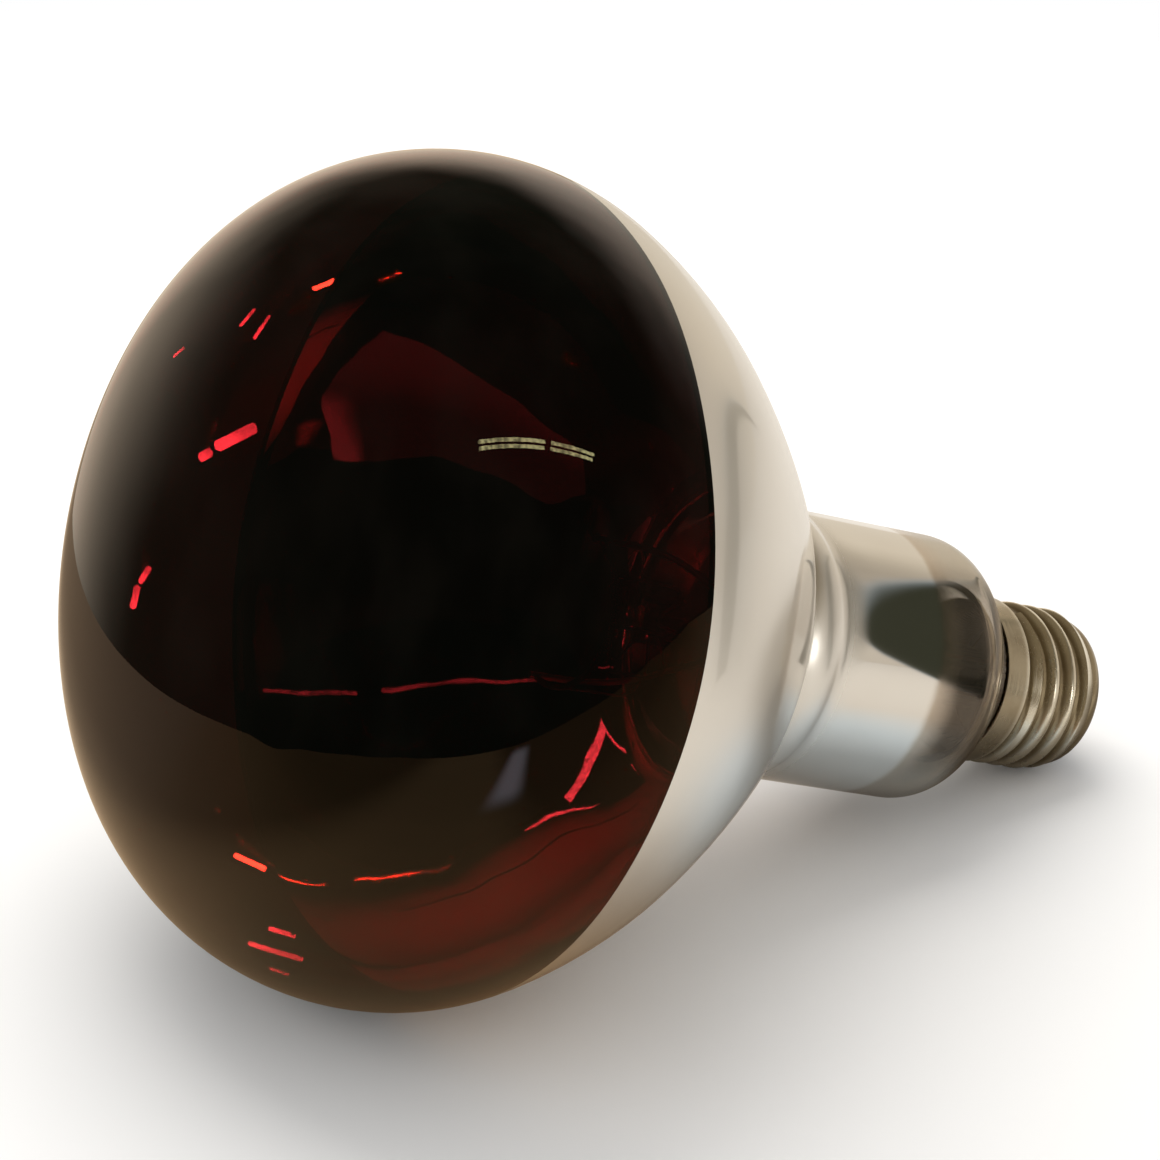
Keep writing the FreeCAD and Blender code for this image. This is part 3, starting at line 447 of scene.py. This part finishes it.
def tube(name, start, end, radius, light, shows_in):
    bpy.ops.object.select_all(action="DESELECT")
    run = end - start
    bpy.ops.mesh.primitive_cylinder_add(vertices=24, radius=radius, depth=run.length)
    made = bpy.context.object
    made.name = name
    lay = Matrix.Translation((start + end) / 2) @ run.to_track_quat("Z", "Y").to_matrix().to_4x4()
    made.matrix_world = in_studio(0, 0, 0) @ lay
    made.data.materials.append(light)
    reflected_only(made)
    made.visible_transmission = shows_in == "ruby"
    made.visible_glossy = shows_in == "gloss"


def ceiling_tube(name, first, last, radius, light, shows_in="ruby"):
    tube(name, Vector((*first, 1)) * ceiling, Vector((*last, 1)) * ceiling, radius, light, shows_in)


row_left, row_forward, row_slope = -0.21, -0.52, 0.053
light = glint_light("tube_row_gloss", yellow, 6.0, None)
for first, last in ((row_left, 0.24), (0.285, 0.64)):
    for beside in (-0.016, 0.016):
        ends = [(right, row_forward + beside + (right - row_left) * row_slope) for right in (first, last)]
        ceiling_tube("tube_row_gloss", *ends, 0.0062, light, "gloss")
light = glint_light("tube_row_near", pink, 4.0, 1)
for first, last in (((-0.78, -0.47), (-0.10, -0.53)), ((0.02, -0.50), (0.42, -0.48))):
    ceiling_tube("tube_row_near", first, last, 0.009, light)
light = glint_light("tube_row_left", pink, 26.0, 1)
row = ((-1.54, 0.14), (-1.24, 0.21), (-0.95, 0.27), (-0.76, 0.37), (-0.58, 0.48))
for first, last in zip(row, row[1:]):
    ceiling_tube("tube_row_left", first, last, 0.034, light)
light = glint_light("tube_row_behind", pink, 30.0, 2)
ceiling_tube("tube_row_behind", (-0.70, -1.22), (-0.47, -1.24), 0.045, light)
light = glint_light("tube_far", amber, 1500.0, 2)
for first, last in (((0.027, -1.47), (0.065, -1.44)), ((0.100, -1.50), (0.110, -1.52)),
                    ((0.09, -1.80), (0.11, -1.82))):
    ceiling_tube("tube_far", first, last, 0.008, light)

# A soft light on the ceiling. The mirror inside shows it after two turns or more, as the
# dark red band along the ruby's lower edge.
glow_radius = 0.62
material, place = new_finish("soft_glow")
fading = place.measured("LENGTH").between(glow_radius, 0.05, 0.0, 1.9)
finish_as_seen(glow(place, (1.0, 1.0, 1.0, 1), fading * through_ruby(place, 2, 5)), material)
soft_glow = disc("soft_glow", glow_radius, 64,
                 in_studio(-0.42 * ceiling, -0.25 * ceiling, ceiling), material)
reflected_only(soft_glow)
soft_glow.visible_glossy = False

# Small lights that lie on the table behind the face and show through its two ruby walls.
# Their ends and thickness are millimetres, to the right and ahead of the lamp.
glint_lift = 0.8
red_glint = glint_light("table_glint_red", (0.9, 1.0, 1.6, 1), 26.0, 0)
amber_glint = glint_light("table_glint_amber", amber, 1600.0, 0)
for first, last, radius, light in (
        ((-75, 158), (-73.5, 160), 1.0, red_glint), ((-72, 163), (-65.5, 171), 1.2, red_glint),
        ((-82, 94), (-82, 101), 0.7, red_glint), ((-81.5, 104), (-80.5, 109), 0.6, red_glint),
        ((-74, 227), (-72, 236), 0.4, red_glint), ((-70, 219), (-68, 231), 0.4, red_glint),
        ((-59, 247), (-55, 252), 0.6, amber_glint), ((-55.5, 6.5), (-50.5, 2.5), 0.45, amber_glint),
        ((-48.5, -16), (-44.5, -18), 0.4, red_glint), ((-51.5, -21), (-43, -25), 0.45, red_glint),
        ((-48, -29), (-45, -30.5), 0.3, red_glint), ((-90, 214), (-88, 218), 0.4, red_glint)):
    tube("table_glint", Vector((*first, glint_lift)) / 1000, Vector((*last, glint_lift)) / 1000,
         radius / 1000, light, "ruby")

# Glass bulb: blown from clear hard glass 1 mm thick, with its pressed rings at the root of
# the neck. The face is stained ruby, the funnel and neck are mirrored inside, and a band
# at the shoulder is left clear. Heights are measured down from the tip of the cap.
glass_wall = 0.001
apex = -0.175
dome_radius = 0.110
bulb_radius = 0.0625
equator = -0.13305
funnel = ((0.05985, -0.11955), (0.0494, -0.10145), (0.0362, -0.08645), (0.024, -0.0787))
ring_top = (0.0223, -0.0768)
ring_foot = (0.0219, -0.0744)
ring_round = 0.0016
groove_round = 0.009
flare_radius = 0.0213
flare_height = 0.0018
flare_round = -0.0057
neck_radius = 0.02105
neck_foot = -0.0682
neck_top = -0.0387
waist_top = -0.060
waist_depth = 0.00004
lip = (0.0147, -0.0312)
rim = (0.0129, -0.027)
seat_foot = (0.0129, -0.024)
sleeve_foot = (0.01135, -0.0224)
sleeve_top = (0.01135, -0.015)


def tangent_arc(start, heading, finish, step=0.0011):
    """Points of the arc that leaves start along heading and ends at finish, and its last heading."""
    start, finish, heading = Vector(start), Vector(finish), Vector(heading)
    normal = Vector((-heading.y, heading.x))
    chord = finish - start
    reach = chord.dot(chord) / (2 * normal.dot(chord))
    centre = start + normal * reach
    first = math.atan2(start.y - centre.y, start.x - centre.x)
    last = math.atan2(finish.y - centre.y, finish.x - centre.x)
    turned_by = (last - first) % math.tau if reach > 0 else -((first - last) % math.tau)
    count = max(2, round(abs(turned_by * reach) / step))
    points = [centre + abs(reach) * Vector((math.cos(first + turned_by * k / count),
                                            math.sin(first + turned_by * k / count)))
              for k in range(1, count + 1)]
    sign = 1 if reach > 0 else -1
    return points, Vector((-math.sin(last) * sign, math.cos(last) * sign))


def set_arc(start, finish, radius, count):
    """Points of an arc of a set radius, which turns left, or right when it is minus."""
    finish = Vector(finish)
    chord = finish - start
    beside = Vector((-chord.y, chord.x)).normalized() * (1 if radius > 0 else -1)
    centre = (start + finish) / 2 + beside * math.sqrt(radius ** 2 - chord.length_squared / 4)
    whole = (start - centre).angle_signed(finish - centre)
    points = []
    for k in range(1, count + 1):
        arm = start - centre
        arm.rotate(Matrix.Rotation(-whole * k / count, 2))
        points.append(centre + arm)
    return points


def inward(point, inset):
    return Vector((point[0] - inset, point[1]))


def bulb_outline(inset):
    """Radius and height from the apex to the sleeve, with the wall's inside drawn parallel."""
    dome_centre = dome_radius - (equator - apex)
    rim_round = (dome_radius ** 2 - bulb_radius ** 2 - dome_centre ** 2) / (2 * (dome_radius - bulb_radius))
    share = dome_radius / (dome_radius - rim_round)
    joint = Vector(((bulb_radius - rim_round) * share, apex + dome_radius - dome_centre * share))
    centre = Vector((0, apex + dome_radius))
    joint = centre + (joint - centre) * (dome_radius - inset) / dome_radius
    points = [Vector((0, apex + inset))]
    arc, heading = tangent_arc(points[0], (1, 0), joint)
    points += arc
    arc, heading = tangent_arc(points[-1], heading, (bulb_radius - inset, equator))
    points += arc
    slope = 0.0
    before = Vector((bulb_radius, equator))
    for radius, height in funnel:
        slope = 2 * math.atan((before.x - radius) / (height - before.y)) - slope
        target = Vector((radius, height)) - inset * Vector((math.cos(slope), math.sin(slope)))
        arc, heading = tangent_arc(points[-1], heading, target)
        points += arc
        before = Vector((radius, height))
    flare_foot = inward((flare_radius, neck_foot), inset)
    flare_end = inward((neck_radius - waist_depth, neck_foot + flare_height), inset)
    if inset:
        points += [inward(ring_top, inset), inward(ring_foot, inset), flare_foot, flare_end]
    else:
        arc, heading = tangent_arc(points[-1], heading, ring_top, 0.0003)
        points += arc
        points += set_arc(points[-1], ring_foot, ring_round, 8)
        points += set_arc(points[-1], flare_foot, groove_round, 12)
        points += set_arc(points[-1], flare_end, flare_round, 10)
    neck_steps = 30
    for k in range(1, neck_steps + 1):
        height = flare_end.y + (neck_top - flare_end.y) * k / neck_steps
        waist = waist_depth * max(0, (waist_top - height) / (waist_top - neck_foot - flare_height)) ** 2
        points.append(Vector((neck_radius - waist - inset, height)))
    arc, heading = tangent_arc(points[-1], (0, 1), (lip[0] - inset, lip[1] - inset), 0.0006)
    points += arc
    points += [inward(point, inset) for point in (rim, seat_foot, sleeve_foot, sleeve_top)]
    return points


def turned(name, outline, steps=160):
    """A closed body turned about the lamp's axis from a chain of (radius, height) points."""
    piece = drawn(name, [(point.x, 0, point.y) for point in outline])
    bpy.ops.mesh.spin(steps=steps, angle=math.tau, center=(0, 0, 0), axis=(0, 0, 1))
    bpy.ops.mesh.select_all(action="SELECT")
    bpy.ops.mesh.remove_doubles(threshold=2e-6)
    bpy.ops.mesh.normals_make_consistent(inside=False)
    bpy.ops.object.mode_set(mode="OBJECT")
    return piece


outer = bulb_outline(0)
inner = bulb_outline(glass_wall)
bulb = turned("bulb_glass", outer + inner[::-1])
bpy.ops.object.shade_smooth_by_angle(angle=math.radians(35))

ruby_level = -0.1252


def ruby_edge(angle):
    """Height of the ruby's edge, which runs a little askew and uneven round the bulb."""
    lie = angle - side
    return (ruby_level + 0.0031 * math.sin(lie) + 0.0006 * math.sin(2 * lie + 0.8)
            + 0.00022 * math.sin(7 * lie + 1.3))


def radius_at(outline, height):
    """Radius of an outline at a height, or nothing past its ends."""
    for before, after in zip(outline, outline[1:]):
        if before.y <= height <= after.y and after.y > before.y:
            return before.x + (after.x - before.x) * (height - before.y) / (after.y - before.y)
    return 0


# The ring of the glass nearest the ruby's edge is moved along the wall to follow that edge,
# and the rings beside it give way
edge_ring = min((point.y for point in outer), key=lambda height: abs(height - ruby_level))
giving_way = 0.009
for vertex in bulb.data.vertices:
    spot = vertex.co
    reach = 1 - abs(spot.z - edge_ring) / giving_way
    if reach > 0 and spot.z > equator:
        inside = math.hypot(spot.x, spot.y) < radius_at(outer, spot.z) - glass_wall / 2
        angle = math.atan2(spot.y, spot.x)
        height = spot.z + (ruby_edge(angle) - edge_ring) * reach
        radius = radius_at(inner if inside else outer, height)
        vertex.co = (radius * math.cos(angle), radius * math.sin(angle), height)

# Ruby stain: burnt into both sides of the glass, so deep that the face looks black but for
# strong lights
material, place = new_finish("ruby_glass")
ripple = place.noise(24, 1.5)
shader(place, Base_Color=(0.22, 0.036, 0.034, 1), Roughness=0.0, IOR=1.5,
       Transmission_Weight=1.0, Normal=ripple.bump(0.06, 0.002)).finish(material)
bulb.data.materials.append(material)

# Mirror: aluminium on the inside of the glass, seen from outside through the glass, a satin
# silver on the funnel and brighter on the neck, and from inside as a wavy mirror
material, place = new_finish("mirror_behind_glass")
cloud = place.noise(30, 3)
tint = cloud.between(0.3, 0.7).mix((0.80, 0.755, 0.69, 1), (0.86, 0.825, 0.77, 1))
satin = place.part("z").between(-0.0680, -0.0615, 0.34, 0.045) + cloud * 0.02
shader(place, Base_Color=tint, Metallic=1.0, Roughness=satin, Coat_Weight=1.0,
       Coat_Roughness=0.015, Normal=place.noise(45, 1).bump(0.03, 0.001)).finish(material)
bulb.data.materials.append(material)

material, place = new_finish("mirror_inside")
wave = place.noise(32, 2.5)
shader(place, Base_Color=(0.90, 0.885, 0.86, 1), Metallic=1.0, Roughness=0.03,
       Normal=wave.bump(0.25, 0.002)).finish(material)
bulb.data.materials.append(material)

# Clear shoulder: the mirror ends in a thin brown fringe, and the glass beyond it is clear,
# but for a painted sheen of silver film laid above and below as the lamp lies, where its
# edges show bright
material, place = new_finish("clear_shoulder")
height = place.part("z")
fringe = (height + place.noise(120, 3) * 0.0016).between(-0.0476, -0.0415, 0.15, 0.86)
mirror_end = (height + place.noise(160, 2) * 0.0010).between(-0.0482, -0.0466)
film = shader(place, Base_Color=(0.83, 0.79, 0.73, 1), Metallic=1.0, Roughness=0.05,
              Coat_Weight=1.0)
thin_film = shader(place, Base_Color=(0.66, 0.56, 0.46, 1), Metallic=1.0, Roughness=0.12)
painted_edge_sheen = shader(place, Base_Color=(0.95, 0.89, 0.79, 1), Metallic=1.0, Roughness=0.12)
glass = shader(place, Base_Color=(0.97, 0.93, 0.87, 1), Roughness=0.0, IOR=1.5,
               Transmission_Weight=1.0)
# Painted sheen: silver film only where the shoulder's edges lie above and below as the lamp lies
edge_sheen_share = place.measured("DOT_PRODUCT", around).maths("ABSOLUTE").between(0.0115, 0.0185, 0.0, 0.55)
thinned = fringe.blend(thin_film, edge_sheen_share.blend(glass, painted_edge_sheen))
mirror_end.blend(film, thinned).finish(material)
bulb.data.materials.append(material)

ruby, mirror_outside, mirror_within, shoulder = range(4)
coating_end = -0.0485
for face in bulb.data.polygons:
    centre = face.center
    if centre.z < ruby_edge(math.atan2(centre.y, centre.x)):
        face.material_index = ruby
    elif centre.z >= coating_end:
        face.material_index = shoulder
    elif math.hypot(centre.x, centre.y) < radius_at(outer, centre.z) - glass_wall / 2:
        face.material_index = mirror_within
    else:
        face.material_index = mirror_outside
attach(bulb, "root")
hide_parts("glass_envelope")


# Screw cap: sheet metal with a rolled thread and a plain collar, plated bright. The thread's
# crests are painted bright as highlights, its troughs are painted dark as shade, and the
# collar is painted a darker brown as shade.
def finish_node(node, material):
    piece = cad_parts[node]
    piece.data.materials.clear()
    piece.data.materials.append(material)


material, place = new_finish("plated_sheet")
rolled = place.stretched(40, 40, 1400).noise(1.0, 3)
dull = place.noise(160, 4).between(0.35, 0.7)
trough_radius = 0.0122
crest_radius = 0.0130
painted_crest_light = place.stretched(1, 1, 0).measured("LENGTH").between(trough_radius, crest_radius)
thread_end = -0.0224
collar_start = -0.0236
on_collar = place.part("z").between(thread_end, collar_start)
# Painted light: the bright crest colour stands in for highlights, and the trough and collar colours stand
# in for shade
bright = dull.mix((0.92, 0.86, 0.72, 1), (0.74, 0.66, 0.52, 1))
painted_trough_shade = dull.mix((0.36, 0.295, 0.19, 1), (0.27, 0.21, 0.13, 1))
painted_collar_shade = dull.mix((0.50, 0.43, 0.31, 1), (0.38, 0.31, 0.21, 1))
tint = on_collar.mix(painted_crest_light.mix(painted_trough_shade, bright), painted_collar_shade)
shader(place, Base_Color=tint, Metallic=1.0, Roughness=dull * 0.12 + rolled * 0.10 + 0.17,
       Normal=rolled.bump(0.15, 0.0002)).finish(material)
finish_node("cap_shell", material)

# Insulator: black glass, pressed into the end of the cap while soft, so it is glossy with a
# slight orange-peel surface
material, place = new_finish("black_glass")
peel = place.noise(700, 2)
shader(place, Base_Color=(0.008, 0.008, 0.012, 1), Roughness=peel.between(0.3, 0.8, 0.06, 0.16),
       Normal=peel.bump(0.15, 0.0002), Coat_Weight=0.4).finish(material)
finish_node("cap_insulator", material)

# Centre contact: a brass button held by the insulator, with turning marks and darker where
# it was handled
material, place = new_finish("contact_brass")
from_axis = place.stretched(1, 1, 0).measured("LENGTH")
rings = (from_axis * from_axis * 9.0e6).maths("SINE")
worn = place.noise(500, 3).between(0.35, 0.7)
tint = worn.mix((0.68, 0.50, 0.24, 1), (0.46, 0.31, 0.13, 1))
shader(place, Base_Color=tint, Metallic=1.0, Roughness=worn * 0.18 + 0.2,
       Normal=rings.bump(0.05, 0.0001)).finish(material)
finish_node("centre_contact", material)

# Solder on the contact: a grey drop that holds the end of its lead, with a frosty skin from
# cooling in air
material, place = new_finish("solder_drop")
frost = place.noise(1500, 4)
tint = frost.between(0.3, 0.7).mix((0.62, 0.62, 0.63, 1), (0.42, 0.42, 0.44, 1))
shader(place, Base_Color=tint, Metallic=1.0, Roughness=frost.between(0.2, 0.8, 0.28, 0.5),
       Normal=frost.bump(0.2, 0.0002)).finish(material)
finish_node("centre_solder", material)

# Cement between the neck and the cap: a sandy paste that is baked hard and glues the collar
# to the glass
material, place = new_finish("baked_cement")
sand = place.noise(2600, 5, 0.7)
tint = sand.between(0.3, 0.7).mix((0.62, 0.55, 0.44, 1), (0.42, 0.35, 0.27, 1))
shader(place, Base_Color=tint, Roughness=0.9, Normal=sand.bump(0.6, 0.0002)).finish(material)
finish_node("cap_cement", material)

# Stem, exhaust tube and button: clear lead glass, drawn and pinched by hand. The stem is
# melted to the neck, and the tube was the way out for the air.
material, place = new_finish("stem_glass")
draw_lines = place.stretched(600, 600, 40).noise(1.0, 2)
shader(place, Base_Color=(0.95, 0.965, 0.94, 1), Roughness=0.0, IOR=1.54,
       Transmission_Weight=1.0, Normal=draw_lines.bump(0.08, 0.0003)).finish(material)
for node in ("stem_flare", "exhaust_tube", "button_rod"):
    finish_node(node, material)


# Leads: nickel wire inside the glass, held by the stem's press, and copper-clad wire from
# the press to the shell and to the centre contact
def finish_wire(name, along, bright, dark, rough, least_rough, nodes):
    material, place = new_finish(name)
    draw_marks = place.stretched(900, 900, along).noise(1.0, 2)
    shader(place, Base_Color=draw_marks.mix(bright, dark), Metallic=1.0,
           Roughness=draw_marks * rough + least_rough).finish(material)
    for node in nodes:
        finish_node(node, material)


finish_wire("nickel_wire", 30, (0.62, 0.59, 0.54, 1), (0.50, 0.47, 0.43, 1), 0.15, 0.22,
            ("inner_lead_right", "inner_lead_left"))
finish_wire("copper_wire", 60, (0.76, 0.38, 0.22, 1), (0.48, 0.22, 0.13, 1), 0.2, 0.25,
            ("contact_lead", "shell_lead"))

# Filament: drawn tungsten wire wound into a close coil and bent to a half ring, whose ends
# are clamped in the two inner leads
material, place = new_finish("tungsten_wire")
scale = place.noise(800, 3)
shader(place, Base_Color=scale.mix((0.30, 0.30, 0.32, 1), (0.18, 0.18, 0.20, 1)), Metallic=1.0,
       Roughness=scale * 0.2 + 0.35).finish(material)
lowest, highest = (Vector(corner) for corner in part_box("filament"))
wire_radius = 0.00013
turns, points_per_turn = 84, 10
coil_radius = (highest.z - lowest.z) / 2 - wire_radius
coil_height = (lowest.z + highest.z) / 2
ring_radius = (highest.x - lowest.x) / 2 - (highest.z - lowest.z) / 2
ring_side = 1 if highest.y + lowest.y > 0 else -1
gap_angle = math.radians(3.5)
line = bpy.data.curves.new("filament_coil", "CURVE")
line.dimensions = "3D"
winding = line.splines.new("NURBS")
winding.points.add(turns * points_per_turn)
for k, point in enumerate(winding.points):
    bent = gap_angle + (math.pi - 2 * gap_angle) * k / (turns * points_per_turn)
    wound = math.tau * k / points_per_turn
    reach = ring_radius + coil_radius * math.cos(wound)
    point.co = (reach * math.cos(bent), ring_side * reach * math.sin(bent),
                coil_height + coil_radius * math.sin(wound), 1)
winding.order_u = 3
winding.use_endpoint_u = True
winding.resolution_u = 1
line.bevel_depth = wire_radius
line.bevel_resolution = 1
line.use_fill_caps = True
coil = bpy.data.objects.new("filament_coil", line)
bpy.context.scene.collection.objects.link(coil)
bpy.ops.object.select_all(action="DESELECT")
coil.select_set(True)
bpy.context.view_layer.objects.active = coil
bpy.ops.object.convert(target="MESH")
coil = bpy.context.object
bpy.ops.object.shade_smooth()
coil.data.materials.clear()
coil.data.materials.append(material)
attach(coil, "root")
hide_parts("filament")

# Support wires: thicker tungsten, melted into the glass button and bent down to the coil,
# with a blue-black scale where they were heated
material, place = new_finish("support_wire")
heat = place.part("z").between(-0.098, -0.104)
scale = place.noise(700, 3)
scaled = scale.mix((0.24, 0.24, 0.28, 1), (0.15, 0.15, 0.18, 1))
shader(place, Base_Color=heat.mix((0.42, 0.41, 0.41, 1), scaled), Metallic=1.0,
       Roughness=scale * 0.25 + 0.28).finish(material)
for node in ("filament_support_1", "filament_support_2", "filament_support_3", "filament_support_4"):
    finish_node(node, material)

# Heat shield: a thin bright disc across the neck, with a turned rim, that keeps heat from
# the cap and has a faint heat bloom
material, place = new_finish("shield_sheet")
bloom = place.noise(90, 3)
tint = bloom.between(0.35, 0.7).mix((0.74, 0.72, 0.69, 1), (0.56, 0.50, 0.42, 1))
shader(place, Base_Color=tint, Metallic=1.0, Roughness=bloom * 0.15 + 0.15).finish(material)
finish_node("heat_shield", material)
